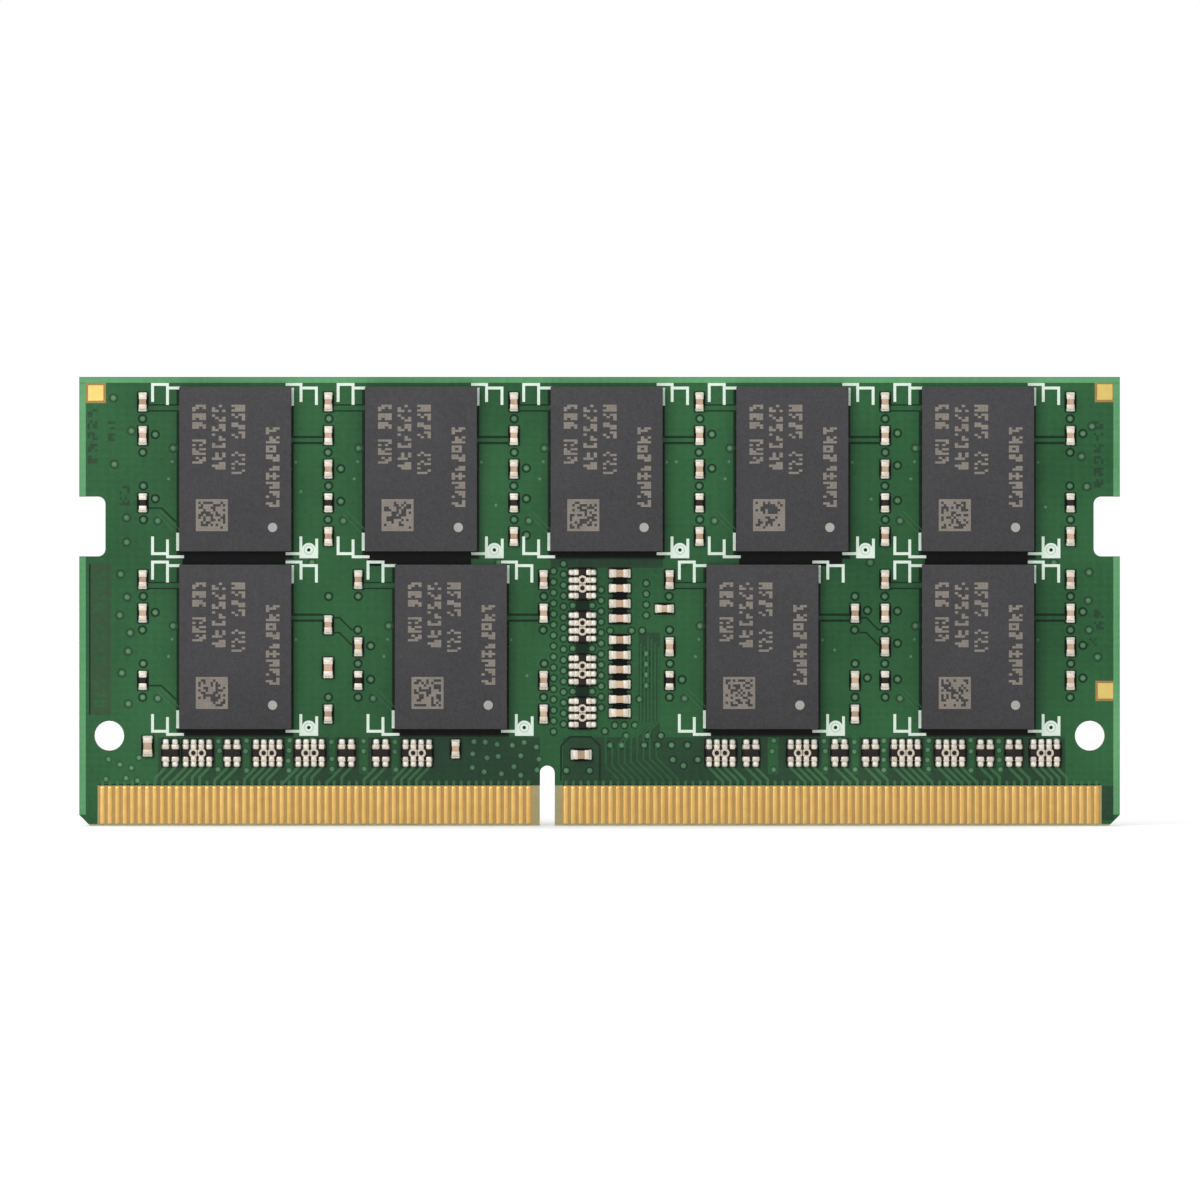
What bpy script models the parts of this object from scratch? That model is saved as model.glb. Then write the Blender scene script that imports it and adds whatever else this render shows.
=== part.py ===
"""A 260-contact small-outline memory module, built as an assembly of separate solids.

The module stands upright on its contact edge. The origin is the middle of that edge, half
way through the board. +X runs along the board towards the longer contact field, +Z goes up
from the contact edge, and the front face looks towards -Y.
"""
import math

import bmesh
import bpy

MM = 0.001

# Board
BOARD_LENGTH = 69.6 * MM
BOARD_HEIGHT = 30.0 * MM
BOARD_THICKNESS = 1.2 * MM
CORNER_CUT = 0.7 * MM              # 45 degree cut on the two lower corners
EDGE_LEAD_IN = 0.1 * MM            # bevel on both sides of the contact edge
NOTCH_HEIGHT = 4.0 * MM            # latch notch, one in each side
NOTCH_DEPTH = 1.75 * MM
NOTCH_UP = 20.0 * MM               # contact edge to the notch's middle
NOTCH_RADIUS = 0.5 * MM
KEY_WIDTH = 1.0 * MM               # slot that a socket's key rib fits
KEY_HEIGHT = 4.0 * MM
KEY_X = -3.5 * MM                  # board middle to the slot's middle
HOLE_DIAMETER = 2.0 * MM
HOLE_INSET = 2.0 * MM              # side edge to the hole's middle
HOLE_UP = 6.0 * MM

# Edge contacts
FINGER_PITCH = 0.5 * MM
FINGER_WIDTH = 0.35 * MM
FINGER_TOP = 2.6 * MM              # contact edge to a finger's top
FINGER_TO_BEVEL = 0.02 * MM        # flat board left below a finger
FINGER_THICKNESS = 0.05 * MM
FINGER_TO_KEY = 1.25 * MM          # slot's middle to the nearest finger's middle
FINGER_END_LAND = 1.3 * MM         # least bare board beyond the last finger
FINGER_WEB = 0.12 * MM             # strip that joins the fingers above their tops

# Memory packages
PACKAGE_WIDTH = 7.5 * MM
PACKAGE_HEIGHT = 11.0 * MM
MOULD_THICKNESS = 0.6 * MM
MOULD_BEVEL = 0.05 * MM
SUBSTRATE_THICKNESS = 0.2 * MM
BALL_STANDOFF = 0.28 * MM          # board face to the substrate
BALL_PITCH = 0.8 * MM
BALL_DIAMETER = 0.45 * MM
BALL_COLUMNS = 3                   # in each of the two fields
BALL_SIDE_MARGIN = 0.55 * MM       # package side to the outer column's middle
BALL_END_MARGIN = 0.3 * MM         # least clear substrate beyond the last row
COLUMNS = 5
LEFT_MARGIN = 6.7 * MM             # side edge to the first package
RIGHT_MARGIN = 5.75 * MM
TOP_MARGIN = 0.67 * MM             # top edge to the upper row
ROW_GAP = 0.88 * MM                # between the upper and the lower row
LOWER_SHIFT = 2.0 * MM             # second and fourth lower packages, towards the middle

# Resistor networks in the row above the contacts
NETWORK_UP = 4.85 * MM             # contact edge to the row's middle
NETWORK_DEPTH = 1.0 * MM           # ceramic body, across the row
NETWORK_THICKNESS = 0.45 * MM
NETWORK_LENGTH = {2: 1.0 * MM, 4: 2.0 * MM}
NETWORK_PITCH = {2: 0.62 * MM, 4: 0.52 * MM}
TERMINAL_WIDTH = 0.32 * MM
TERMINAL_REACH = 0.43 * MM         # soldered end beyond the body, on both sides
LEFT_BANK_INSET = 5.6 * MM         # left side edge to the left bank
RIGHT_BANK_INSET = 4.0 * MM        # right side edge to the right bank
# Each bank runs inwards from its own side edge: (elements, gap before the network in mm)
LEFT_BANK = ((2, 0.0), (4, 0.31), (2, 0.82), (4, 0.88), (4, 0.82), (2, 0.95), (2, 1.29), (4, 0.94))
RIGHT_BANK = ((4, 0.0), (2, 0.59), (2, 0.91), (4, 0.85), (4, 0.96), (2, 0.87), (2, 1.06),
              (4, 0.99), (2, 1.94), (4, 0.52))

# Configuration memory with temperature sensor, on the rear
SENSOR_WIDTH = 2.0 * MM
SENSOR_HEIGHT = 3.0 * MM
SENSOR_THICKNESS = 0.75 * MM
SENSOR_BEVEL = 0.06 * MM
SENSOR_UP = 11.87 * MM             # contact edge to the sensor's middle

# Fits
SOLDER_GAP = 0.02 * MM             # between two bonded or soldered faces
CUT_OVERRUN = 1.0 * MM             # how far a cutter passes the face that it cuts
ARC_STEPS = 6                      # flats on a quarter turn

FRONT = -1
REAR = 1
SIDE_NAMES = {FRONT: "front", REAR: "rear"}
QUARTER_TURN = math.pi / 2


# Scene, materials and shape helpers

def clear_scene():
    for item in list(bpy.data.objects):
        bpy.data.objects.remove(item, do_unlink=True)


def new_collection(name):
    collection = bpy.data.collections.new(name)
    bpy.context.scene.collection.children.link(collection)
    return collection


def new_material(name, colour, roughness, metallic=0.0):
    made = bpy.data.materials.new(name)
    made.use_nodes = True
    shader = made.node_tree.nodes["Principled BSDF"]
    shader.inputs["Base Color"].default_value = (*colour, 1.0)
    shader.inputs["Roughness"].default_value = roughness
    shader.inputs["Metallic"].default_value = metallic
    made.diffuse_color = (*colour, 1.0)
    return made


def place(item, collection, finish=None, parent=None):
    collection.objects.link(item)
    if finish is not None:
        item.data.materials.append(finish)
    item.parent = parent
    return item


def box_object(name, size, centre, bevel=0.0):
    """A box of the given size, with all its edges bevelled if a bevel is given."""
    mesh = bpy.data.meshes.new(name)
    shape = bmesh.new()
    bmesh.ops.create_cube(shape, size=1.0)
    bmesh.ops.scale(shape, vec=size, verts=shape.verts)
    shape.to_mesh(mesh)
    shape.free()
    made = bpy.data.objects.new(name, mesh)
    made.location = centre
    if bevel:
        edges = made.modifiers.new("edges", "BEVEL")
        edges.width = bevel
        edges.segments = 1
    return made


def plate_object(name, outline, thickness, y):
    """A flat plate of the given outline, parallel to the board."""
    curve = bpy.data.curves.new(name, "CURVE")
    curve.dimensions = "2D"
    curve.fill_mode = "BOTH"
    curve.extrude = thickness / 2
    spline = curve.splines.new("POLY")
    spline.points.add(len(outline) - 1)
    for point, (x, z) in zip(spline.points, outline):
        point.co = (x, z, 0.0, 1.0)
    spline.use_cyclic_u = True
    made = bpy.data.objects.new(name, curve)
    made.location = (0.0, y, 0.0)
    made.rotation_euler = (QUARTER_TURN, 0.0, 0.0)
    return made


def meshed(curve_object, collection):
    """The same shape as a mesh with welded caps, in place of the curve."""
    collection.objects.link(curve_object)
    bpy.context.view_layer.update()
    graph = bpy.context.evaluated_depsgraph_get()
    mesh = bpy.data.meshes.new_from_object(curve_object.evaluated_get(graph))
    shape = bmesh.new()
    shape.from_mesh(mesh)
    bmesh.ops.remove_doubles(shape, verts=shape.verts, dist=SOLDER_GAP / 10)
    shape.to_mesh(mesh)
    shape.free()
    name = curve_object.name
    matrix = curve_object.matrix_world.copy()
    bpy.data.objects.remove(curve_object, do_unlink=True)
    made = bpy.data.objects.new(name, mesh)
    made.matrix_world = matrix
    return made


def combine(target, tool, operation):
    step = target.modifiers.new(tool.name, "BOOLEAN")
    step.operation = operation
    step.solver = "EXACT"
    step.object = tool


def as_tool(tool, cutters):
    """Hides a shape that is only added to or cut from another one."""
    cutters.objects.link(tool)
    tool.hide_render = True
    tool.display_type = "WIRE"
    return tool


def arc(centre, radius, start, turn, steps):
    """Points along an arc from the start angle through the given turn, both ends included."""
    angles = [start + turn * step / steps for step in range(steps + 1)]
    return [(centre[0] + radius * math.cos(a), centre[1] + radius * math.sin(a)) for a in angles]


def from_face(side, near, far):
    """Middle in Y of what lies between two distances from the board's front or rear face."""
    return side * (BOARD_THICKNESS / 2 + (near + far) / 2)


# The board

def key_outline():
    """The slot with its round top, run out below the contact edge."""
    radius = KEY_WIDTH / 2
    top = arc((KEY_X, KEY_HEIGHT - radius), radius, 0.0, math.pi, 2 * ARC_STEPS)
    return top + [(KEY_X - radius, -CUT_OVERRUN), (KEY_X + radius, -CUT_OVERRUN)]


def notch_outline(side_of_middle):
    """A latch notch with two round inner corners, run out past the side edge."""
    rim = BOARD_LENGTH / 2
    corner = rim - NOTCH_DEPTH + NOTCH_RADIUS
    rise = NOTCH_HEIGHT / 2 - NOTCH_RADIUS
    upper = arc((corner, NOTCH_UP + rise), NOTCH_RADIUS, QUARTER_TURN, QUARTER_TURN, ARC_STEPS)
    lower = arc((corner, NOTCH_UP - rise), NOTCH_RADIUS, math.pi, QUARTER_TURN, ARC_STEPS)
    mouth = [(rim + CUT_OVERRUN, NOTCH_UP - NOTCH_HEIGHT / 2),
             (rim + CUT_OVERRUN, NOTCH_UP + NOTCH_HEIGHT / 2)]
    return [(side_of_middle * x, z) for x, z in upper + lower + mouth]


def corner_outline(side_of_middle):
    """A triangle whose long side takes the corner off at 45 degrees."""
    rim = BOARD_LENGTH / 2
    points = [(rim - CORNER_CUT - CUT_OVERRUN, -CUT_OVERRUN), (rim + CUT_OVERRUN, -CUT_OVERRUN),
              (rim + CUT_OVERRUN, CORNER_CUT + CUT_OVERRUN)]
    return [(side_of_middle * x, z) for x, z in points]


def hole_outline(side_of_middle):
    x = side_of_middle * (BOARD_LENGTH / 2 - HOLE_INSET)
    steps = 4 * ARC_STEPS
    return arc((x, HOLE_UP), HOLE_DIAMETER / 2, 0.0, 2 * math.pi, steps)[:steps]


def cut_through(board, name, outline, cutters):
    """Cuts the outline through the whole thickness of the board."""
    depth = BOARD_THICKNESS + 2 * CUT_OVERRUN
    cutter = meshed(plate_object(name, outline, depth, 0.0), cutters)
    combine(board, as_tool(cutter, cutters), "DIFFERENCE")


def cut_lead_in(board, side, cutters):
    """A square bar turned on its corner takes the bevel off one side of the contact edge."""
    bar = 4 * EDGE_LEAD_IN
    offset = bar / 2 * math.sin(math.pi / 4) - EDGE_LEAD_IN / 2
    centre = (0.0, side * (BOARD_THICKNESS / 2 + offset), -offset)
    size = (BOARD_LENGTH + 2 * CUT_OVERRUN, bar, bar)
    cutter = box_object("lead_in_cutter_" + SIDE_NAMES[side], size, centre)
    cutter.rotation_euler = (math.pi / 4, 0.0, 0.0)
    combine(board, as_tool(cutter, cutters), "DIFFERENCE")


def build_board(parts, cutters, finish, frame):
    size = (BOARD_LENGTH, BOARD_THICKNESS, BOARD_HEIGHT)
    board = box_object("circuit_board", size, (0.0, 0.0, BOARD_HEIGHT / 2))
    place(board, parts, finish, frame)
    cut_through(board, "key_cutter", key_outline(), cutters)
    for side_of_middle, label in ((-1, "left"), (1, "right")):
        cut_through(board, "notch_cutter_" + label, notch_outline(side_of_middle), cutters)
        cut_through(board, "corner_cutter_" + label, corner_outline(side_of_middle), cutters)
        cut_through(board, "hole_cutter_" + label, hole_outline(side_of_middle), cutters)
    for side in (FRONT, REAR):
        cut_lead_in(board, side, cutters)


# The edge contacts

def finger_centres(direction):
    """Finger middles on one side of the slot, from the slot outwards."""
    room = BOARD_LENGTH / 2 - direction * KEY_X - FINGER_TO_KEY - FINGER_WIDTH / 2 - FINGER_END_LAND
    count = int(room / FINGER_PITCH) + 1
    first = KEY_X + direction * FINGER_TO_KEY
    return [first + direction * FINGER_PITCH * index for index in range(count)]


def comb_outline(centres):
    """Fingers hanging from one thin strip above their tops."""
    ordered = sorted(centres)
    half = FINGER_WIDTH / 2
    bottom = EDGE_LEAD_IN + FINGER_TO_BEVEL
    strip_top = FINGER_TOP + FINGER_WEB
    points = [(ordered[-1] + half, strip_top), (ordered[0] - half, strip_top)]
    for x in ordered:
        if x is not ordered[0]:
            points.append((x - half, FINGER_TOP))
        points += [(x - half, bottom), (x + half, bottom)]
        if x is not ordered[-1]:
            points.append((x + half, FINGER_TOP))
    return points


def build_contacts(parts, finish, frame):
    for side in (FRONT, REAR):
        y = from_face(side, SOLDER_GAP, SOLDER_GAP + FINGER_THICKNESS)
        for direction, field in ((-1, "left"), (1, "right")):
            name = "contacts_" + SIDE_NAMES[side] + "_" + field
            outline = comb_outline(finger_centres(direction))
            place(plate_object(name, outline, FINGER_THICKNESS, y), parts, finish, frame)


# The memory packages

def package_places():
    """(row, number, x, z) of each package, the same on both faces of the board."""
    half_width = PACKAGE_WIDTH / 2
    first = -BOARD_LENGTH / 2 + LEFT_MARGIN + half_width
    last = BOARD_LENGTH / 2 - RIGHT_MARGIN - half_width
    columns = [first + (last - first) * index / (COLUMNS - 1) for index in range(COLUMNS)]
    upper_z = BOARD_HEIGHT - TOP_MARGIN - PACKAGE_HEIGHT / 2
    lower_z = upper_z - PACKAGE_HEIGHT - ROW_GAP
    lower = [columns[0], columns[1] + LOWER_SHIFT, columns[3] - LOWER_SHIFT, columns[4]]
    places = [("upper", number, x, upper_z) for number, x in enumerate(columns, 1)]
    return places + [("lower", number, x, lower_z) for number, x in enumerate(lower, 1)]


def build_substrate(name, side, x, z, parts, cutters, finish, frame):
    """The package's carrier plate, with one block for each of its two fields of balls."""
    far = BALL_STANDOFF + SUBSTRATE_THICKNESS
    size = (PACKAGE_WIDTH, SUBSTRATE_THICKNESS, PACKAGE_HEIGHT)
    substrate = box_object(name, size, (x, from_face(side, BALL_STANDOFF, far), z))
    place(substrate, parts, finish, frame)
    block_top = BALL_STANDOFF + SUBSTRATE_THICKNESS / 2
    columns_span = (BALL_COLUMNS - 1) * BALL_PITCH
    rows_room = PACKAGE_HEIGHT - 2 * BALL_END_MARGIN - BALL_DIAMETER
    rows_span = int(rows_room / BALL_PITCH) * BALL_PITCH
    block = (columns_span + BALL_DIAMETER, block_top - SOLDER_GAP, rows_span + BALL_DIAMETER)
    field_offset = PACKAGE_WIDTH / 2 - BALL_SIDE_MARGIN - columns_span / 2
    for direction, field in ((-1, "left"), (1, "right")):
        centre = (x + direction * field_offset, from_face(side, SOLDER_GAP, block_top), z)
        balls = box_object(name + "_balls_" + field, block, centre)
        combine(substrate, as_tool(balls, cutters), "UNION")


def build_packages(parts, cutters, mould_finish, substrate_finish, frame):
    near = BALL_STANDOFF + SUBSTRATE_THICKNESS + SOLDER_GAP
    size = (PACKAGE_WIDTH, MOULD_THICKNESS, PACKAGE_HEIGHT)
    for side in (FRONT, REAR):
        for row, number, x, z in package_places():
            label = "_".join((SIDE_NAMES[side], row, str(number)))
            build_substrate("dram_substrate_" + label, side, x, z, parts, cutters,
                            substrate_finish, frame)
            centre = (x, from_face(side, near, near + MOULD_THICKNESS), z)
            mould = box_object("dram_mould_" + label, size, centre, MOULD_BEVEL)
            place(mould, parts, mould_finish, frame)


# The resistor networks

def network_outline(elements, x):
    """A ceramic block with a soldered terminal above and below it for each element."""
    half_length = NETWORK_LENGTH[elements] / 2
    inner = NETWORK_DEPTH / 2
    outer = inner + TERMINAL_REACH
    half_width = TERMINAL_WIDTH / 2
    first = -NETWORK_PITCH[elements] * (elements - 1) / 2
    terminals = [first + NETWORK_PITCH[elements] * index for index in range(elements)]
    lower = [(-half_length, -inner)]
    for t in terminals:
        lower += [(t - half_width, -inner), (t - half_width, -outer)]
        lower += [(t + half_width, -outer), (t + half_width, -inner)]
    lower.append((half_length, -inner))
    upper = [(-px, -pz) for px, pz in lower]
    return [(x + px, NETWORK_UP + pz) for px, pz in lower + upper]


def build_networks(parts, finish, frame):
    y = from_face(FRONT, SOLDER_GAP, SOLDER_GAP + NETWORK_THICKNESS)
    banks = (("left", -1, LEFT_BANK, LEFT_BANK_INSET), ("right", 1, RIGHT_BANK, RIGHT_BANK_INSET))
    for bank_name, direction, bank, inset in banks:
        run = BOARD_LENGTH / 2 - inset
        for number, (elements, gap) in enumerate(bank, 1):
            run -= gap * MM + NETWORK_LENGTH[elements] / 2
            outline = network_outline(elements, direction * run)
            run -= NETWORK_LENGTH[elements] / 2
            name = "resistor_network_" + bank_name + "_" + str(number)
            place(plate_object(name, outline, NETWORK_THICKNESS, y), parts, finish, frame)


# The configuration memory

def build_sensor(parts, finish, frame):
    size = (SENSOR_WIDTH, SENSOR_THICKNESS, SENSOR_HEIGHT)
    y = from_face(REAR, SOLDER_GAP, SOLDER_GAP + SENSOR_THICKNESS)
    sensor = box_object("configuration_memory_sensor", size, (0.0, y, SENSOR_UP), SENSOR_BEVEL)
    place(sensor, parts, finish, frame)


def main():
    clear_scene()
    parts = new_collection("ram_module")
    cutters = new_collection("cutters")
    frame = bpy.data.objects.new("module_origin", None)
    parts.objects.link(frame)
    board_finish = new_material("solder_mask_green", (0.026, 0.127, 0.045), 0.35)
    contact_finish = new_material("contact_gold", (0.83, 0.52, 0.21), 0.25, 1.0)
    mould_finish = new_material("mould_black", (0.062, 0.057, 0.062), 0.6)
    substrate_finish = new_material("substrate_green", (0.05, 0.10, 0.04), 0.5)
    network_finish = new_material("network_ceramic", (0.35, 0.34, 0.33), 0.45)
    build_board(parts, cutters, board_finish, frame)
    build_contacts(parts, contact_finish, frame)
    build_packages(parts, cutters, mould_finish, substrate_finish, frame)
    build_networks(parts, network_finish, frame)
    build_sensor(parts, mould_finish, frame)


main()
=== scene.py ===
"""Looks of a 260-contact memory module: solder mask, copper relief, gold contacts, moulded
packages on solder balls, resistor networks, chip parts and printed marks.

Small shapes are laid out in millimetres as (x, z, height): along the board, up from the contact
edge, and out from the board's face. Both faces carry the same layout, mirrored through the board.
"""

import math
import random

import bmesh
import bpy
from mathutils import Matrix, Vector


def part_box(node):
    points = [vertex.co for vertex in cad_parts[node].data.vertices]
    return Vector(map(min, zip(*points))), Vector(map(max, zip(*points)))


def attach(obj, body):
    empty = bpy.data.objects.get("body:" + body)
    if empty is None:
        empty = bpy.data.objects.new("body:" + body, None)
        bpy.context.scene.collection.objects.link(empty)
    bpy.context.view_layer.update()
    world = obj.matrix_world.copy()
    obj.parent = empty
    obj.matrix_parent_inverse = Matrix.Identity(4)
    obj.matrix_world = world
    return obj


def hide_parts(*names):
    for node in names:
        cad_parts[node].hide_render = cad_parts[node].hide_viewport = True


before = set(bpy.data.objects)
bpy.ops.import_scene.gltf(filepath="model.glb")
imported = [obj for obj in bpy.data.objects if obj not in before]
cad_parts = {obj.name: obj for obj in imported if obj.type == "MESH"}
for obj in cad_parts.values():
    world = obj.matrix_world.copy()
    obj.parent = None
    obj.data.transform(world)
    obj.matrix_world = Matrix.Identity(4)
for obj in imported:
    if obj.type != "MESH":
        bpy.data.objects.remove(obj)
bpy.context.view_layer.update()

MM = 0.001
FRONT = -1
REAR = 1
SIDE_NAMES = {FRONT: "front", REAR: "rear"}


def span(node):
    """A CAD node's box in millimetres: (x low, x high, z low, z high)."""
    low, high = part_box(node)
    return low.x / MM, high.x / MM, low.z / MM, high.z / MM


BOARD = "circuit_board"
BOARD_LEFT, BOARD_RIGHT, BOARD_BOTTOM, BOARD_TOP = span(BOARD)
BOARD_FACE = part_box(BOARD)[1].y

# Heights over the board's bare face
MASK = 0.020
BURIED = 0.012                 # where shapes on top of the mask start, inside it
DIM_TOP = 0.0215               # mask over thin or finely divided copper, and painted shade below one package
DARK_TOP = 0.023               # mask where the copper below it is etched away, and painted shade round packages and small parts
RIM_TOP = 0.0245
HALO_TOP = 0.026
COPPER_TOP = 0.036             # mask over a raised copper track
CAP_TOP = 0.040
INK_TOP = 0.046
PAD_TOP = 0.034
LAND_TOP = 0.004               # bare laminate in an opening of the mask

# Contacts
FINGER_PITCH = 0.5
FINGER_WIDTH = 0.35
FINGER_ROUND = 0.12
FINGER_TOP = 2.62
MASK_EDGE = 2.68
LAND_MARGIN = 0.16
# inset from the finger's outline, and height
FINGER_CROWN = ((0.0, 0.004), (0.0, 0.012), (0.012, 0.022), (0.04, 0.034), (0.08, 0.043), (0.115, 0.048))

# Places of small parts round the packages
COLUMN_GAP = 2.45              # package side to a column of chip parts
SLOT_PITCH = 2.25              # between the five places in a column
SLOTS = (2, 1, 0, -1, -2)
# package, its side, and what stands in the five places: capacitor, resistor or nothing
COLUMNS = (
    ("upper_1", -1, "CC.R."), ("lower_1", -1, "CC.R."), ("upper_2", -1, "CCCRC"),
    ("lower_1", 1, "....C"), ("lower_2", -1, "C.CR."), ("upper_3", -1, "CCCRC"),
    ("lower_2", 1, "CC.CC"), ("upper_4", -1, "CCCRC"), ("lower_3", -1, "C.CR."),
    ("upper_5", -1, "CCCRC"), ("lower_4", -1, "CCCR."), ("lower_3", 1, ".C.CC"),
    ("upper_5", 1, "CC.RC"), ("lower_4", 1, "CCCC."),
)
PACKAGES = ("upper_1", "upper_2", "upper_3", "upper_4", "upper_5",
            "lower_1", "lower_2", "lower_3", "lower_4")
ROW_PAIRS = (("upper_1", "lower_1"), ("upper_2", "lower_2"), ("upper_4", "lower_3"),
             ("upper_5", "lower_4"))
LEFT_NETWORKS = 8
RIGHT_NETWORKS = 10
NETWORK_PITCH = {2: 0.62, 4: 0.52}

# The middle column, from the midline between the two inner lower packages
MIDDLE_NETWORKS = (-1.62, (16.15, 13.28, 10.40, 7.53))
MIDDLE_CAPACITORS = (0.88, (16.86, 15.87, 14.84, 13.85, 12.41, 11.40, 10.43, 9.44, 8.44, 7.53))

# Printed brackets at a package's corners
INK_WIDTH = 0.19
INK_STEP = 0.0005              # keeps crossing lines apart in height

# Camera
VIEW_WIDTH = 80.27 * MM        # what the picture spans at the board's face
VIEW_HEIGHT = 15.08 * MM
VIEW_DISTANCE = 1.1
SENSOR = 36.0

# Studio brightness: level all round, and what is added behind and above or taken off to the sides
WORLD_LEVEL = 0.86
WORLD_BEHIND = 0.14
WORLD_SIDES = 0.55
WORLD_ABOVE = 0.75
WORLD_HORIZON = 0.03           # half height of the full white band round the horizon
FLOOR_HALF = 90.0              # metres
FLOOR_GAP = 0.02 * MM

# Finishes

def tint(red, green, blue):
    """Linear colour of a screen colour given as 0 to 255."""
    linear = []
    for value in (red, green, blue):
        share = value / 255
        linear.append(share / 12.92 if share <= 0.04045 else ((share + 0.055) / 1.055) ** 2.4)
    return (*linear, 1.0)


def feed(tree, node, inputs):
    """Gives each input its value, or links it to the output that stands in its place."""
    for key, value in inputs.items():
        if isinstance(value, bpy.types.NodeSocket):
            tree.links.new(value, node.inputs[key])
        else:
            node.inputs[key].default_value = value


def add_node(tree, kind, inputs):
    node = tree.nodes.new("ShaderNode" + kind)
    feed(tree, node, inputs)
    return node


def compute(tree, operation, *values):
    """One step of arithmetic on numbers and outputs."""
    node = add_node(tree, "Math", dict(enumerate(values)))
    node.operation = operation
    return node.outputs[0]


class Recipe:
    """Node-building helpers for one material."""

    def __init__(self, name, roughness, metallic=0.0, gloss=0.5):
        self.material = bpy.data.materials.new(name)
        self.material.use_nodes = True
        self.tree = self.material.node_tree
        self.shader = self.tree.nodes["Principled BSDF"]
        feed(self.tree, self.shader,
             {"Roughness": roughness, "Metallic": metallic, "Specular IOR Level": gloss})
        self.place = add_node(self.tree, "TexCoord", {}).outputs["Object"]

    def noise(self, grain, detail=3.0):
        """Noise with blots of about the given size in millimetres."""
        inputs = {"Vector": self.place, "Scale": 1 / (grain * MM), "Detail": detail}
        return add_node(self.tree, "TexNoise", inputs).outputs["Fac"]

    def scratches(self):
        """Fine lines that run up the board."""
        inputs = {"Vector": self.place, "Scale": (1.0, 1.0, 0.06)}
        stretched = add_node(self.tree, "Mapping", inputs).outputs["Vector"]
        inputs = {"Vector": stretched, "Scale": 1 / (0.03 * MM)}
        return add_node(self.tree, "TexNoise", inputs).outputs["Fac"]

    def bands(self, axis, period):
        """Soft stripes across one axis, with the given period in millimetres."""
        node = add_node(self.tree, "TexWave", {
            "Vector": self.place, "Scale": math.pi / (10 * period * MM), "Distortion": 1.2,
            "Detail Scale": 0.6})
        node.bands_direction = axis
        return node.outputs["Fac"]

    def island(self):
        """A random value for each separate solid."""
        return add_node(self.tree, "NewGeometry", {}).outputs["Random Per Island"]

    def colour(self, dark, light, *parts):
        """Mixes two colours by 0.5 plus amount * (part - 0.5) for each part."""
        share = 0.5
        for part, amount in parts:
            shifted = compute(self.tree, "SUBTRACT", share, amount / 2)
            share = compute(self.tree, "MULTIPLY_ADD", part, amount, shifted)
        mix = add_node(self.tree, "Mix", {0: share, 6: tint(*dark), 7: tint(*light)})
        mix.data_type = "RGBA"
        mix.clamp_factor = True
        feed(self.tree, self.shader, {"Base Color": mix.outputs[2]})

    def surface(self, share, low, high, height, depth):
        """Uneven roughness, and bumps of about the given depth in millimetres."""
        rough = add_node(self.tree, "MapRange", {
            "Value": share, "From Min": 0.3, "From Max": 0.7, "To Min": low, "To Max": high})
        bump = add_node(self.tree, "Bump", {"Height": height, "Distance": depth * MM})
        feed(self.tree, self.shader,
             {"Roughness": rough.outputs["Result"], "Normal": bump.outputs["Normal"]})
        return self.material


def mask_finish(name, dark, light, gloss=0.22):
    """Solder mask: clear green lacquer over copper or laminate, with a trace of the glass weave."""
    made = Recipe(name, 0.3, gloss=gloss)
    made.colour(dark, light, (made.noise(11.0), 1.8), (made.noise(0.25), 0.5),
                (made.bands("X", 0.62), 0.08), (made.bands("Z", 0.5), 0.08))
    return made.surface(made.noise(0.4), 0.26, 0.38, made.noise(0.12), 0.002)


def laminate_finish():
    """Glass and epoxy plies with thin darker inner layers, seen on the cut edges."""
    made = Recipe("laminate", 0.55, gloss=0.4)
    made.colour((142, 134, 94), (198, 188, 150), (made.bands("Y", 0.15), 0.9), (made.noise(0.08), 0.6),
                (made.noise(2.5), 0.4))
    return made.surface(made.noise(0.15), 0.45, 0.65, made.noise(0.06), 0.006)


def metal_finish(name, dark, light, low, high, scratch=0.35):
    """Plated metal with faint blotches and fine upright scratches."""
    made = Recipe(name, (low + high) / 2, 1.0)
    lines = made.scratches()
    made.colour(dark, light, (made.noise(0.8), 0.9), (lines, scratch), (made.island(), 0.3))
    return made.surface(lines, low, high, made.noise(0.05), 0.0012)


def solder_finish(name, dark, light, low, high):
    """Reflowed tin: bright, a little grainy, each joint slightly different."""
    made = Recipe(name, (low + high) / 2, 0.45)
    made.colour(dark, light, (made.noise(0.07), 0.9), (made.island(), 0.5))
    return made.surface(made.noise(0.1), low, high, made.noise(0.06), 0.004)


def mould_finish():
    """Epoxy mould compound: matt charcoal, full of fine filler grains."""
    made = Recipe("mould_compound", 0.6, gloss=0.2)
    made.colour((46, 45, 47), (66, 65, 67), (made.noise(0.11, 2.0), 1.0), (made.noise(0.35), 0.5),
                (made.noise(3.0), 0.5))
    return made.surface(made.noise(0.15), 0.52, 0.7, made.noise(0.07), 0.006)


def plain_finish(name, dark, light, low, high, grain, depth, vary=0.0, gloss=0.5):
    """Paint, ink, glaze or ceramic: two near colours mixed by grain, blotches and piece."""
    made = Recipe(name, (low + high) / 2, gloss=gloss)
    parts = [(made.noise(grain), 0.9), (made.noise(grain * 8), 0.5)]
    if vary:
        parts.append((made.island(), vary))
    made.colour(dark, light, *parts)
    return made.surface(made.noise(grain * 2), low, high, made.noise(grain), depth)


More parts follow.
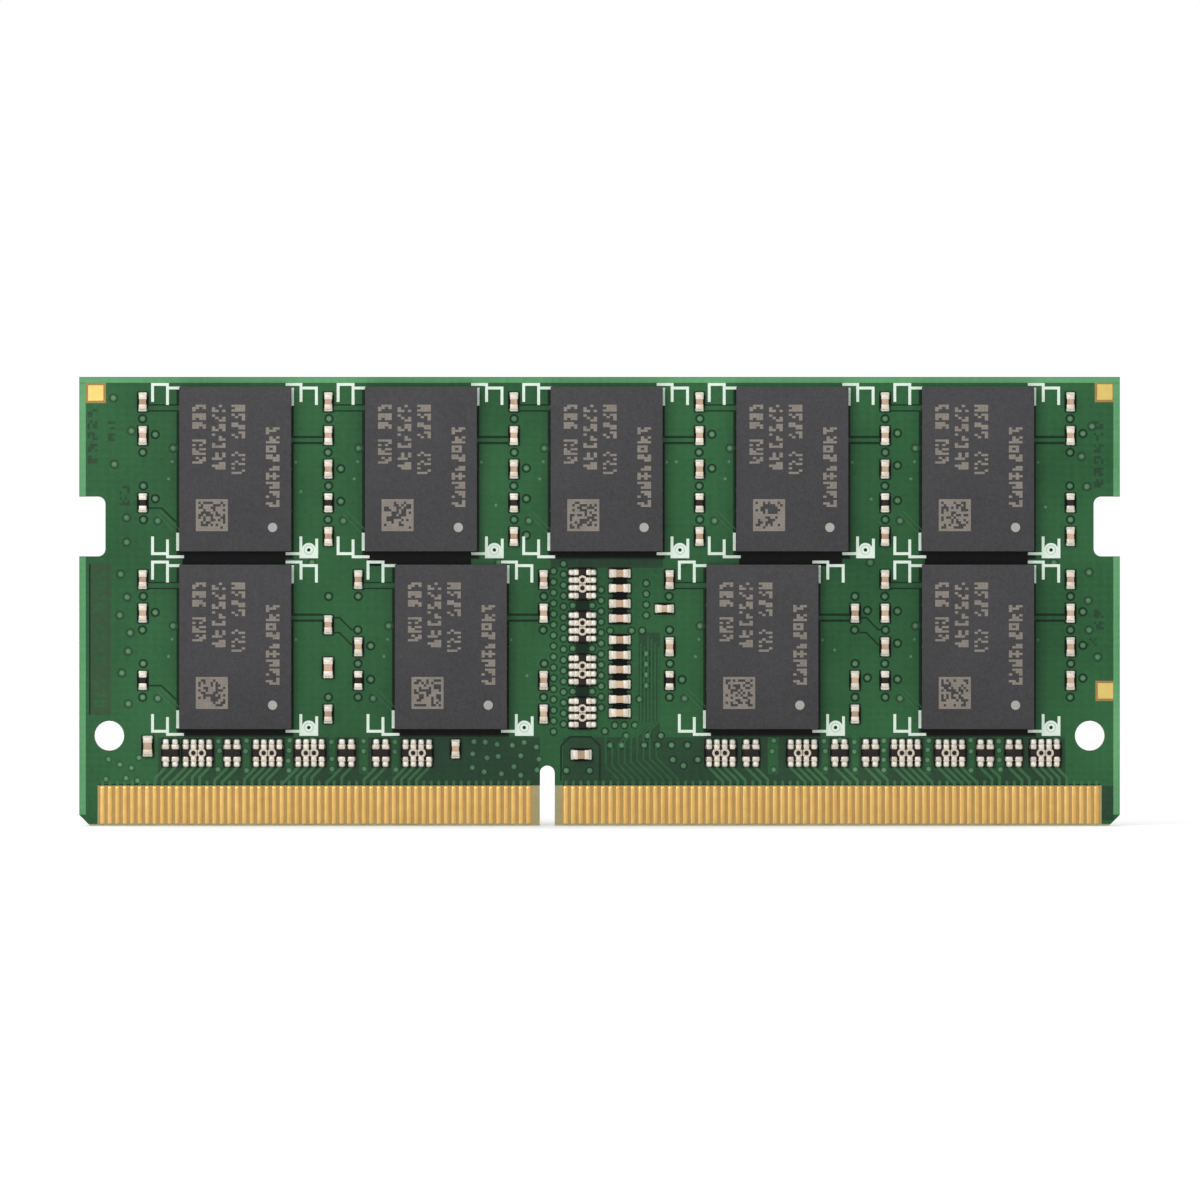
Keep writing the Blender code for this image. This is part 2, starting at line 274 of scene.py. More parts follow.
MASK_COPPER = mask_finish("mask_over_copper", (17, 66, 32), (40, 93, 53))
MASK_THIN = mask_finish("mask_over_thin_copper", (34, 62, 36), (46, 76, 48))
# Mask over finely divided copper; also used once as painted shade below a package.
MASK_DIM = mask_finish("mask_over_fine_copper_and_painted_shade", (14, 46, 26), (36, 68, 44))
# Dark mask over bare laminate for etched gaps and via rings; also used as painted shade round packages and
# small parts and along the mask's edge.
MASK_BARE_AND_SHADE = mask_finish("mask_over_laminate_and_painted_shade", (5, 29, 14), (16, 46, 26), 0.15)
MASK_RIM = mask_finish("mask_rim", (66, 124, 78), (94, 152, 104))
MASK_TRACK = mask_finish("mask_over_track", (38, 82, 50), (58, 104, 66))
# Mask over a via's plugged cap, lightened partly as a painted highlight.
VIA_CAP_AND_HIGHLIGHT = mask_finish("mask_over_via_and_painted_highlight", (58, 96, 66), (94, 134, 102))
# Near-black painted shade for the gaps under and between the packages and round the small parts.
PAINTED_SHADE = mask_finish("painted_shade_in_gaps", (2, 6, 3), (7, 13, 7), 0.12)
LAMINATE = laminate_finish()
LAND = plain_finish("contact_land", (148, 114, 56), (182, 146, 82), 0.4, 0.6, 0.1, 0.003)
BORDER = plain_finish("pad_border", (120, 88, 40), (164, 126, 62), 0.4, 0.6, 0.1, 0.003)
GOLD = metal_finish("contact_gold", (204, 160, 88), (226, 188, 116), 0.30, 0.42)
GOLD_PAD = metal_finish("pad_gold", (200, 174, 96), (218, 194, 118), 0.3, 0.45, 0.15)
SOLDER = solder_finish("solder_tin", (186, 183, 172), (232, 229, 218), 0.3, 0.5)
TERMINAL = solder_finish("terminal_tin", (180, 171, 156), (226, 219, 205), 0.32, 0.5)
MOULD = mould_finish()
MARK = plain_finish("laser_mark", (92, 87, 81), (144, 136, 127), 0.6, 0.8, 0.09, 0.004,
                    gloss=0.2)
DOT = plain_finish("mark_dot", (136, 134, 130), (166, 164, 158), 0.5, 0.7, 0.1, 0.004,
                   gloss=0.2)
CARRIER = plain_finish("package_carrier", (30, 54, 28), (62, 84, 44), 0.4, 0.6, 0.08, 0.003)
CERAMIC = plain_finish("capacitor_ceramic", (128, 98, 78), (192, 164, 136), 0.35, 0.5,
                       0.06, 0.003, vary=1.3)
GLAZE = plain_finish("resistor_glaze", (10, 6, 4), (30, 20, 15), 0.25, 0.4, 0.1, 0.002,
                     gloss=0.25)
PRINT = plain_finish("network_print", (184, 168, 150), (220, 207, 190), 0.5, 0.6, 0.05, 0.002)
INK = plain_finish("silkscreen_ink", (190, 206, 192), (216, 230, 218), 0.5, 0.65, 0.07, 0.005)
FLOOR = plain_finish("pale_floor", (246, 246, 246), (252, 252, 252), 0.8, 0.9, 40.0, 0.0, gloss=0.0)
INK_GREY = plain_finish("thin_ink", (146, 162, 148), (172, 188, 174), 0.5, 0.65, 0.07, 0.005)


# Shapes

def rectangle(x, z, width, height):
    """Corners anticlockwise round the middle."""
    w, h = width / 2, height / 2
    return [(x - w, z - h), (x + w, z - h), (x + w, z + h), (x - w, z + h)]


def disc(x, z, radius, count=14):
    turn = 2 * math.pi / count
    return [(x + radius * math.cos(turn * i), z + radius * math.sin(turn * i)) for i in range(count)]


def rounded(x, z, width, height, radius, steps=3):
    """A rectangle with round corners."""
    points = []
    for quarter, (sx, sz) in enumerate(((1, 1), (-1, 1), (-1, -1), (1, -1))):
        cx, cz = x + sx * (width / 2 - radius), z + sz * (height / 2 - radius)
        for step in range(steps + 1):
            angle = math.pi / 2 * (quarter + step / steps)
            points.append((cx + radius * math.cos(angle), cz + radius * math.sin(angle)))
    return points


def rounded_span(node, radius):
    """A CAD node's outline with round corners."""
    x0, x1, z0, z1 = span(node)
    return rounded((x0 + x1) / 2, (z0 + z1) / 2, x1 - x0, z1 - z0, radius)


def mitre(before, here, after):
    """The offset that moves a corner one unit to the left of both its edges."""
    normals = []
    for first, second in ((before, here), (here, after)):
        dx, dz = second[0] - first[0], second[1] - first[1]
        length = math.hypot(dx, dz)
        if length > 0:
            normals.append((-dz / length, dx / length))
    (ax, az), (bx, bz) = normals[0], normals[-1]
    scale = 1 / (1 + ax * bx + az * bz)
    return (ax + bx) * scale, (az + bz) * scale


def inset(outline, amount):
    """The outline moved inwards, or outwards for a negative amount."""
    moved = []
    for index, (x, z) in enumerate(outline):
        after = outline[(index + 1) % len(outline)]
        mx, mz = mitre(outline[index - 1], (x, z), after)
        moved.append((x + mx * amount, z + mz * amount))
    return moved


def at(outline, height):
    return [(x, z, height) for x, z in outline]


class Piece:
    """Closed solids on one face of the board, gathered into one named mesh."""

    def __init__(self, name, side, *finishes):
        self.name = name
        self.side = side
        self.finishes = finishes
        self.corners = []
        self.faces = []
        self.marks = []

    def loft(self, rings, finish):
        """A closed solid whose skin runs through rings with equal numbers of corners."""
        count = len(rings[0])
        start = len(self.corners)
        for ring in rings:
            self.corners += ring
        before = len(self.faces)
        for low in range(start, start + count * (len(rings) - 1), count):
            for step in range(count):
                after = (step + 1) % count
                self.faces.append((low + step, low + after, low + count + after, low + count + step))
        last = start + count * (len(rings) - 1)
        self.faces.append(tuple(range(start, start + count))[::-1])
        self.faces.append(tuple(range(last, last + count)))
        self.marks += [self.finishes.index(finish)] * (len(self.faces) - before)

    def stack(self, outline, levels, finish):
        """A closed solid from one outline, with an inset and a height for each level."""
        self.loft([at(inset(outline, margin), height) for margin, height in levels], finish)

    def plate(self, outline, high, finish, low=BURIED):
        self.stack(outline, ((0, low), (0, high)), finish)

    def patch(self, x, z, width, height, top, finish):
        """A thin rectangle on the mask, given by its middle and its size."""
        self.plate(rectangle(x, z, width, height), top, finish)

    def field(self, x0, x1, z0, z1, top, finish):
        """A thin rectangle on the mask, given by its four sides."""
        self.patch((x0 + x1) / 2, (z0 + z1) / 2, x1 - x0, z1 - z0, top, finish)

    def ribbon(self, path, width, high, finish, low=BURIED):
        """A flat strip of constant width along a path."""
        rings = []
        for index, (x, z) in enumerate(path):
            mx, mz = mitre(path[max(index - 1, 0)], (x, z), path[min(index + 1, len(path) - 1)])
            dx, dz = mx * width / 2, mz * width / 2
            left, right = (x + dx, z + dz), (x - dx, z - dz)
            rings.append([(*left, low), (*left, high), (*right, high), (*right, low)])
        self.loft(rings, finish)

    def build(self, slot, replaces=(), sharp=35.0):
        mesh = bpy.data.meshes.new(self.name)
        points = [(x * MM, self.side * (BOARD_FACE + h * MM), z * MM) for x, z, h in self.corners]
        mesh.from_pydata(points, [], self.faces)
        for finish in self.finishes:
            mesh.materials.append(finish)
        mesh.polygons.foreach_set("material_index", self.marks)
        shape = bmesh.new()
        shape.from_mesh(mesh)
        bmesh.ops.recalc_face_normals(shape, faces=shape.faces)
        shape.to_mesh(mesh)
        shape.free()
        mesh.shade_smooth()
        mesh.set_sharp_from_angle(angle=math.radians(sharp))
        settle(bpy.data.objects.new(self.name, mesh), replaces)


def settle(made, replaces=()):
    """Puts a finished object in the scene, on the module's one body."""
    bpy.context.scene.collection.objects.link(made)
    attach(made, "root")
    if replaces:
        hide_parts(*replaces)


def named(base, side, *more):
    """A name that holds the side of the board."""
    return "_".join((base, SIDE_NAMES[side], *more))


def package_span(side, place):
    return span(named("dram_mould", side, place))


def package_spans(side):
    """The four sides of each package and the height of its middle."""
    for place in PACKAGES:
        x0, x1, z0, z1 = package_span(side, place)
        yield x0, x1, z0, z1, (z0 + z1) / 2


def depth_span(node):
    """How far a CAD node's near and far sides stand over the board's face, in millimetres."""
    low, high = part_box(node)
    reach = sorted((abs(low.y), abs(high.y)))
    return [(value - BOARD_FACE) / MM for value in reach]


# The board and its solder mask

GOLD_PADS = ((-33.70, 28.93), (33.80, 28.99), (33.84, 9.0))
PAD_SIZE = 1.05
WINDOW_SIZE = 1.36
HOLE_X = 33.0
HOLE_Z = 6.0


def rim_spans():
    """Heights between which a side edge of the board runs straight: below and above its notch."""
    heights = set()
    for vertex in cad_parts[BOARD].data.vertices:
        if vertex.co.x / MM > BOARD_RIGHT - 0.01:
            heights.add(round(vertex.co.z / MM, 3))
    ordered = sorted(heights)
    return (ordered[0], ordered[1]), (ordered[-2], ordered[-1])


def keep_off(shape, low_x, high_x, low_z, high_z):
    """Cuts a rectangular window in a flat sheet of faces."""
    planes = [((low_x, 0, 0), (1, 0, 0)), ((high_x, 0, 0), (1, 0, 0)),
              ((0, 0, low_z), (0, 0, 1)), ((0, 0, high_z), (0, 0, 1))]
    for point, normal in planes:
        corner = [value * MM for value in point]
        geometry = shape.verts[:] + shape.edges[:] + shape.faces[:]
        bmesh.ops.bisect_plane(shape, geom=geometry, dist=1e-8, plane_co=corner, plane_no=normal)
    inside = []
    for face in shape.faces:
        middle = face.calc_center_median() / MM
        if low_x < middle.x < high_x and low_z < middle.z < high_z:
            inside.append(face)
    bmesh.ops.delete(shape, geom=inside, context="FACES")


def build_mask(side):
    """The lacquer over one face of the board, open round the contacts and the gold pads."""
    shape = bmesh.new()
    shape.from_mesh(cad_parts[BOARD].data)
    bmesh.ops.delete(shape, geom=[f for f in shape.faces if f.normal.y * side < 0.99], context="FACES")
    left = span(named("contacts", side, "left"))[0] - LAND_MARGIN
    right = span(named("contacts", side, "right"))[1] + LAND_MARGIN
    keep_off(shape, left, right, BOARD_BOTTOM - 1, MASK_EDGE)
    half = WINDOW_SIZE / 2
    for x, z in GOLD_PADS:
        keep_off(shape, x - half, x + half, z - half, z + half)
    bmesh.ops.dissolve_limit(shape, angle_limit=0.01, verts=shape.verts, edges=shape.edges)
    bmesh.ops.triangulate(shape, faces=shape.faces)
    bmesh.ops.solidify(shape, geom=shape.faces[:], thickness=-MASK * MM)
    bmesh.ops.recalc_face_normals(shape, faces=shape.faces)
    mesh = bpy.data.meshes.new(named("solder_mask", side))
    shape.to_mesh(mesh)
    shape.free()
    mesh.materials.append(MASK_COPPER)
    settle(bpy.data.objects.new(mesh.name, mesh))


def build_rim(side):
    """The lighter border where the copper planes stop short of the board's edge."""
    piece = Piece(named("mask_rim", side), side, MASK_RIM, MASK_BARE_AND_SHADE)
    edge, top_width, side_width = 0.03, 0.36, 0.40
    shoulder = BOARD_TOP - edge - top_width
    piece.field(BOARD_LEFT + edge, BOARD_RIGHT - edge, shoulder, BOARD_TOP - edge, RIM_TOP, MASK_RIM)
    for low, high in rim_spans():
        top = min(high, shoulder)
        for rim, inward in ((BOARD_LEFT, 1), (BOARD_RIGHT, -1)):
            piece.patch(rim + inward * (edge + side_width / 2), (low + top) / 2, side_width,
                        top - low - 2 * edge, RIM_TOP, MASK_RIM)
    piece.build("solder_mask")


def build_gold_pads(side):
    piece = Piece(named("gold_pads", side), side, GOLD_PAD, BORDER)
    for x, z in GOLD_PADS:
        piece.plate(rectangle(x, z, WINDOW_SIZE, WINDOW_SIZE), LAND_TOP, BORDER, 0.0)
        piece.stack(rounded(x, z, PAD_SIZE, PAD_SIZE, 0.05),
                    ((0, LAND_TOP), (0, PAD_TOP - 0.012), (0.012, PAD_TOP)), GOLD_PAD)
    piece.build("contact_gold")


def finger_places(side, field):
    low, high, _, _ = span(named("contacts", side, field))
    count = round((high - low - FINGER_WIDTH) / FINGER_PITCH) + 1
    return [low + FINGER_WIDTH / 2 + FINGER_PITCH * index for index in range(count)]


def finger_outline(x, low):
    """A finger with a square end below and a round top."""
    half = FINGER_WIDTH / 2
    points = [(x - half, low), (x + half, low)]
    for side, start in ((1, 0), (-1, 90)):
        for step in range(4):
            angle = math.radians(start + 30 * step)
            points.append((x + side * (half - FINGER_ROUND) + FINGER_ROUND * math.cos(angle),
                           FINGER_TOP - FINGER_ROUND + FINGER_ROUND * math.sin(angle)))
    return points


def build_contacts(side):
    """Gold fingers with crowned faces, standing on a strip of bare laminate."""
    land = Piece(named("contact_land", side), side, LAND, MASK_BARE_AND_SHADE, MASK_TRACK)
    for field in ("left", "right"):
        node = named("contacts", side, field)
        low, high, bottom, _ = span(node)
        piece = Piece(named("fingers", side, field), side, GOLD)
        for x in finger_places(side, field):
            outline = finger_outline(x, bottom)
            rings = []
            for margin, height in FINGER_CROWN:
                ring = inset(outline, margin)
                rings.append([(px, pz if pz > bottom + 0.3 else bottom, height) for px, pz in ring])
            piece.loft(rings, GOLD)
            land.plate(rounded(x, MASK_EDGE + 0.16, 0.2, 0.34, 0.09), RIM_TOP, MASK_TRACK)
        piece.build("contact_gold", (node,), sharp=60)
        strip = rectangle((low + high) / 2, (bottom + 0.24 + MASK_EDGE) / 2, high - low + 0.2,
                          MASK_EDGE - bottom - 0.26)
        land.plate(strip, LAND_TOP, LAND, 0.0)
        # Painted shade: a dark band along the mask's edge above the contacts.
        land.field(low - 0.05, high + 0.05, MASK_EDGE, MASK_EDGE + 0.1, DARK_TOP, MASK_BARE_AND_SHADE)
    land.build("bare_laminate")


# The memory packages

BALL_PITCH = 0.8
BALL_RADIUS = 0.225
BALL_ROWS = 13
BALL_COLUMNS = 3
BALL_SIDE_MARGIN = 0.55
CARRIER_THICKNESS = 0.2
MARK_DEPTH = 0.003             # half the height of a laser mark


def build_mould(side, place):
    node = named("dram_mould", side, place)
    near, far = depth_span(node)
    piece = Piece(named("package", side, place), side, MOULD)
    piece.stack(rounded_span(node, 0.07), ((0, near), (0, far - 0.05), (0.015, far - 0.015), (0.05, far)),
                MOULD)
    piece.build("mould_compound", (node,))


def build_carrier(side, place):
    """The thin green carrier below the mould, with the stub of a sawn tie at each side."""
    node = named("dram_substrate", side, place)
    x0, x1, z0, z1 = span(node)
    far = depth_span(node)[1]
    low = far - CARRIER_THICKNESS
    piece = Piece(named("carrier", side, place), side, CARRIER, GOLD_PAD)
    piece.stack(rounded_span(node, 0.05), ((0.02, low), (0, low + 0.02), (0, far)), CARRIER)
    for x in (x0, x1):
        for step in range(-3, 4):
            stub = rectangle(x, (z0 + z1) / 2 + step * 1.4, 0.012, 0.09)
            piece.plate(stub, far - 0.08, GOLD_PAD, far - 0.12)
    piece.build("package_substrate", (node,))


def build_packages(side):
    for place in PACKAGES:
        build_mould(side, place)
        build_carrier(side, place)


def add_ball(piece, x, z, low, high):
    """A solder ball pressed flat where it meets the board and the package."""
    middle, half = (low + high) / 2, (high - low) / 2
    rings = []
    for step in (-1.0, -0.55, 0.0, 0.55, 1.0):
        bulge = math.sqrt(1 - (0.8 * step) ** 2)
        rings.append(at(disc(x, z, BALL_RADIUS * bulge, 10), middle + step * half))
    piece.loft(rings, SOLDER)


def build_balls(side):
    piece = Piece(named("solder_balls", side), side, SOLDER)
    for place in PACKAGES:
        x0, x1, z0, z1 = package_span(side, place)
        high = depth_span(named("dram_substrate", side, place))[1] - CARRIER_THICKNESS
        for column in range(BALL_COLUMNS):
            margin = BALL_SIDE_MARGIN + column * BALL_PITCH
            for x in (x0 + margin, x1 - margin):
                for row in range(BALL_ROWS):
                    z = (z0 + z1) / 2 + (row - (BALL_ROWS - 1) / 2) * BALL_PITCH
                    add_ball(piece, x, z, MASK, high)
    piece.build("solder_tin", sharp=80)


# Laser marks: seeded blocks that stand for a maker's lines and code, and spell nothing

# (offset from the package's left side, from its top, to its end, glyph cells)
MARK_LINES = ((0.88, 1.13, 5.20, 7), (2.19, 1.13, 5.60, 7), (3.50, 1.13, 5.90, 8), (5.80, 2.64, 8.10, 9))
MARK_GAPS = ((3,), (), (3,), ())       # cells left empty in each line
MARK_WIDTH = 0.92
GLYPH_COLUMNS = 4
GLYPH_ROWS = 3
GLYPH_FILL = 0.62
BLOCK_SHARE = 0.97             # how much of its cell a block fills
CODE_CELLS = 13
CODE_SIZE = 2.14
CODE_FILL = 0.55


def add_glyph(piece, left, low, width, height, heights, dice, outward, finish):
    """A few coarse random blocks in one cell, which stand for no sign or letter."""
    bottom, top = heights
    across, along = width / GLYPH_COLUMNS, height / GLYPH_ROWS
    for column in range(GLYPH_COLUMNS):
        for row in range(GLYPH_ROWS):
            if dice.random() < GLYPH_FILL:
                block = rectangle(left + outward * (column + 0.5) * across, low + (row + 0.5) * along,
                                  across * BLOCK_SHARE, along * BLOCK_SHARE)
                piece.plate(block, top, finish, bottom)


def build_marks(side):
    piece = Piece(named("package_marks", side), side, MARK, DOT)
    dice = random.Random(7)
    patterns = [dice.random() for _ in MARK_LINES]
    for place in PACKAGES:
        node = named("dram_mould", side, place)
        x0, x1, _, top = span(node)
        rise = depth_span(node)[1]
        heights = (rise - MARK_DEPTH, rise + MARK_DEPTH)
        outward = -side
        start = x0 if outward > 0 else x1
        for (offset, first, last, cells), gaps, seed in zip(MARK_LINES, MARK_GAPS, patterns):
            glyphs = random.Random(seed)
            step = (last - first) / cells
            for cell in range(cells):
                low = top - last + cell * step
                if cell not in gaps:
                    add_glyph(piece, start + outward * offset, low + step * 0.11, MARK_WIDTH,
                              step * 0.78, heights, glyphs, outward, MARK)
        add_code(piece, start + outward * 1.12, top - 9.65, heights, outward, dice)
        piece.plate(disc(start + outward * 6.25, top - 9.40, 0.31, 20), heights[1], DOT, heights[0])
    piece.build("mould_compound")


def add_code(piece, left, low, heights, outward, dice):
    """A framed square of random cells, joined along each row."""
    cell = CODE_SIZE / CODE_CELLS
    for row in range(CODE_CELLS):
        run = 0
        for column in range(CODE_CELLS + 1):
            frame_cell = row in (0, CODE_CELLS - 1) or column in (0, CODE_CELLS - 1)
            if column < CODE_CELLS and (frame_cell or dice.random() < CODE_FILL):
                run += 1
                continue
            if run:
                bar = rectangle(left + outward * (column - run / 2) * cell, low + (row + 0.5) * cell,
                                run * cell, cell * BLOCK_SHARE)
                piece.plate(bar, heights[1], MARK, heights[0])
            run = 0


# Chip parts and resistor networks

class Spot:
    """Places a small part drawn along its own length (u) and width (v)."""

    def __init__(self, x, z, lying):
        self.x, self.z, self.lying = x, z, lying

    def point(self, u, v, height):
        if self.lying:
            return (self.x + u, self.z + v, height)
        return (self.x + v, self.z + u, height)

    def ring(self, outline, height):
        return [self.point(u, v, height) for u, v in outline]


def add_block(piece, spot, u, v, length, width, low, high, finish, bevel=0.03):
    """A box whose four upper edges and upright corners are rounded off."""
    outline = rounded(u, v, length, width, bevel, 2)
    levels = ((0, low), (0, high - bevel), (bevel * 0.3, high - bevel * 0.3), (bevel, high))
    piece.loft([spot.ring(inset(outline, margin), height) for margin, height in levels], finish)


def add_lobe(piece, spot, u, v, length, width, high, finish):
    """A rounded mound of tin: the plated end of a part, or the solder on its pad."""
    corner = min(length, width) * 0.3
    outline = rounded(u, v, length, width, corner, 2)
    rings = []
    for share, rise in ((0.0, 0.0), (0.0, 0.45), (0.18, 0.78), (0.5, 0.95), (0.8, 1.0)):
        rings.append(spot.ring(inset(outline, corner * share), MASK + (high - MASK) * rise))
    piece.loft(rings, finish)


def add_ground(piece, spot, length, width, radius, top, finish):
    """A flat plate round a small part, in the colour of painted shade."""
    outline = rounded(0, 0, length, width, radius)
    piece.loft([spot.ring(outline, BURIED), spot.ring(outline, top)], finish)


# length and width of the body, height, length of a plated end
CHIP = {"C": (1.02, 0.53, 0.5, 0.37), "R": (1.02, 0.53, 0.38, 0.33), "B": (1.15, 0.62, 0.6, 0.38),
        "M": (1.20, 0.55, 0.5, 0.40)}
CHIP_PAD = 0.14                # solder beyond the chip's end
CHIP_FLARE = 1.12              # how much wider the solder is than the body


def add_chip(piece, kind, x, z, lying):
    """A chip capacitor or resistor with plated ends, soldered to its two pads."""
    length, width, thickness, end = CHIP[kind]
    spot = Spot(x, z, lying)
    # Painted shade round the part: a darker plate and a near-black halo at its sides.
    add_ground(piece, spot, length + 0.40, width + 0.28, 0.1, DARK_TOP, MASK_BARE_AND_SHADE)
    add_ground(piece, spot, length, width + 0.24, 0.1, HALO_TOP, PAINTED_SHADE)
    low, high = MASK + 0.03, MASK + thickness
    narrower, lower, body = (0.08, 0.03, GLAZE) if kind == "R" else (0.07, 0.012, CERAMIC)
    add_block(piece, spot, 0, 0, length - 0.06, width - narrower, low, high - lower, body)
    for sign in (-1, 1):
        add_block(piece, spot, sign * (length - end) / 2, 0, end, width, low, high, TERMINAL, 0.07)
        add_lobe(piece, spot, sign * (length / 2 + CHIP_PAD / 2 - 0.06), 0, CHIP_PAD + 0.12,
                 width * CHIP_FLARE, thickness * 0.7, SOLDER)


CHIP_FINISHES = (MASK_BARE_AND_SHADE, PAINTED_SHADE, GLAZE, CERAMIC, TERMINAL, SOLDER)


def column_middle(side, package, edge):
    """The middle of the column of small parts on one side of a package."""
    x0, x1, z0, z1 = package_span(side, package)
    return (x1 + COLUMN_GAP if edge > 0 else x0 - COLUMN_GAP), (z0 + z1) / 2


def column_places(side, package, edge, parts):
    """(kind, x, z) for each part in one column beside a package."""
    x, middle = column_middle(side, package, edge)
    return [(kind, x, middle + slot * SLOT_PITCH) for slot, kind in zip(SLOTS, parts) if kind != "."]


def middle_x(side):
    """The midline between the two inner packages of the lower row."""
    return (package_span(side, "lower_2")[1] + package_span(side, "lower_3")[0]) / 2


def lone_chips(side):
    """(kind, x, z, lying) of the few parts that stand outside the columns."""
    x1, z0 = package_span(side, "lower_1")[1], package_span(side, "lower_1")[2]
    row = span("resistor_network_left_1")
    inner = span("resistor_network_left_8")
    level = (row[2] + row[3]) / 2
    middle = middle_x(side)
    return [("C", x1 + COLUMN_GAP, z0 + 6.97, False), ("B", x1 + COLUMN_GAP, z0 + 4.10, False),
            ("B", row[0] - 1.02, level + 0.45, False), ("C", inner[1] + 1.56, level + 0.27, False),
            ("B", middle - 1.70, level - 0.12, True), ("C", middle + 3.87, 14.50, True)]


def build_chips(side):
    for rank, (package, edge, parts) in enumerate(COLUMNS, 1):
        piece = Piece(named("chip_column", side, str(rank)), side, *CHIP_FINISHES)
        for kind, x, z in column_places(side, package, edge, parts):
            add_chip(piece, kind, x, z, False)
        piece.build("capacitor_ceramic")
    lone = Piece(named("chip_parts", side), side, *CHIP_FINISHES)
    for kind, x, z, lying in lone_chips(side):
        if side == FRONT or not lying:
            add_chip(lone, kind, x, z, lying)
    lone.build("capacitor_ceramic")
    if side == FRONT:
        middle = Piece("chip_column_middle", side, *CHIP_FINISHES)
        offset, heights = MIDDLE_CAPACITORS
        for z in heights:
            add_chip(middle, "M", middle_x(side) + offset, z, True)
        middle.build("capacitor_ceramic")


NETWORK_HALF = 0.5             # half of the ceramic body, across the row of terminals
NETWORK_HIGH = 0.43
NETWORK_END = 0.93
WIDEST_PAIR = 1.5              # a wider network has four elements
# width of the lobe on the body and of the one on the pad
NETWORK_LOBES = {2: (0.57, 0.42), 4: (0.49, 0.40)}
RING_PLACES = (-0.27, 0.27)    # the two printed rings of a four-element network
RING_RADIUS = 0.235


def add_network(piece, x, z, elements, lying):
    """A convex network: dark glazed block, plated terminals on both long sides."""
    spot = Spot(x, z, lying)
    pitch = NETWORK_PITCH[elements]
    length = pitch * (elements - 1) + (0.44 if elements == 4 else 0.42)
    low, high = MASK + 0.03, MASK + NETWORK_HIGH
    # Painted shade round the network: a darker plate and a near-black halo across its middle.
    add_ground(piece, spot, 2 * NETWORK_END + 0.12, length + 0.22, 0.08, DARK_TOP + 0.001, MASK_BARE_AND_SHADE)
    add_ground(piece, spot, 2 * NETWORK_END - 0.5, length + 0.24, 0.08, HALO_TOP, PAINTED_SHADE)
    add_block(piece, spot, 0, 0, 2 * NETWORK_HALF - 0.04, length, low, high, GLAZE)
    inner_width, outer_width = NETWORK_LOBES[elements]
    for element in range(elements):
        v = pitch * (element - (elements - 1) / 2)
        for sign in (-1, 1):
            add_lobe(piece, spot, sign * 0.40, v, 0.43, inner_width, high + 0.02, TERMINAL)
            add_block(piece, spot, sign * 0.6, v, 0.2, outer_width * 0.8, low, high - 0.06, SOLDER)
            add_lobe(piece, spot, sign * (NETWORK_END - 0.18), v, 0.38, outer_width, high - 0.02, SOLDER)
    if elements == 4:
        for v in RING_PLACES:
            add_ring(piece, spot, v, high)


def add_ring(piece, spot, v, rise):
    """One printed ring of the pair on a four-element network."""
    corners = disc(0, v, RING_RADIUS, 12)
    path = [spot.point(*corner, 0)[:2] for corner in corners]
    for first, second in zip(path, path[1:] + path[:1]):
        piece.ribbon([first, second], 0.15, rise + 0.006, PRINT, rise - 0.004)


NETWORK_FINISHES = (MASK_BARE_AND_SHADE, PAINTED_SHADE, GLAZE, TERMINAL, SOLDER, PRINT)


def network_nodes():
    names = ["resistor_network_left_" + str(n) for n in range(1, LEFT_NETWORKS + 1)]
    return names + ["resistor_network_right_" + str(n) for n in range(1, RIGHT_NETWORKS + 1)]


def network_places():
    """(node, x, z, lower side, number of elements) of each network in the row."""
    for node in network_nodes():
        x0, x1, z0, z1 = span(node)
        yield node, (x0 + x1) / 2, (z0 + z1) / 2, z0, 2 if x1 - x0 < WIDEST_PAIR else 4


def build_networks():
    """The front row replaces its CAD nodes; the middle four and the rear row are placed from them."""
    rear = Piece("resistor_networks_rear", REAR, *NETWORK_FINISHES)
    for node, x, z, _, elements in network_places():
        piece = Piece(node.replace("resistor_network", "network"), FRONT, *NETWORK_FINISHES)
        add_network(piece, x, z, elements, False)
        piece.build("network_ceramic", (node,))
        add_network(rear, x, z, elements, False)
    rear.build("network_ceramic")
    offset, heights = MIDDLE_NETWORKS
    for rank, z in enumerate(heights, 1):
        piece = Piece("network_middle_" + str(rank), FRONT, *NETWORK_FINISHES)
        add_network(piece, middle_x(FRONT) + offset, z, 4, True)
        piece.build("network_ceramic")


# The configuration memory on the rear

SENSOR_NODE = "configuration_memory_sensor"


def build_sensor():
    x0, x1, z0, z1 = span(SENSOR_NODE)
    near, far = depth_span(SENSOR_NODE)
    x, z = (x0 + x1) / 2, (z0 + z1) / 2
    piece = Piece("configuration_memory", REAR, MOULD, TERMINAL, SOLDER, MASK_BARE_AND_SHADE, DOT)
    piece.field(x0 - 0.45, x1 + 0.45, z0 - 0.15, z1 + 0.15, DARK_TOP, MASK_BARE_AND_SHADE)
    piece.stack(rounded_span(SENSOR_NODE, 0.05),
                ((0, near + 0.02), (0, far - 0.06), (0.02, far - 0.02), (0.06, far)), MOULD)
    for sign, edge in ((-1, x0), (1, x1)):
        for step in (-1.5, -0.5, 0.5, 1.5):
            spot = Spot(edge, z + step * 0.65, True)
            add_block(piece, spot, 0, 0, 0.05, 0.28, near, near + 0.22, TERMINAL, 0.01)
            add_lobe(piece, spot, sign * 0.12, 0, 0.28, 0.3, 0.14, SOLDER)
    piece.plate(disc(x + 0.6, z + 1.1, 0.16, 16), far + MARK_DEPTH, DOT, far - MARK_DEPTH)
    piece.build("mould_compound", (SENSOR_NODE,))


# Printed brackets

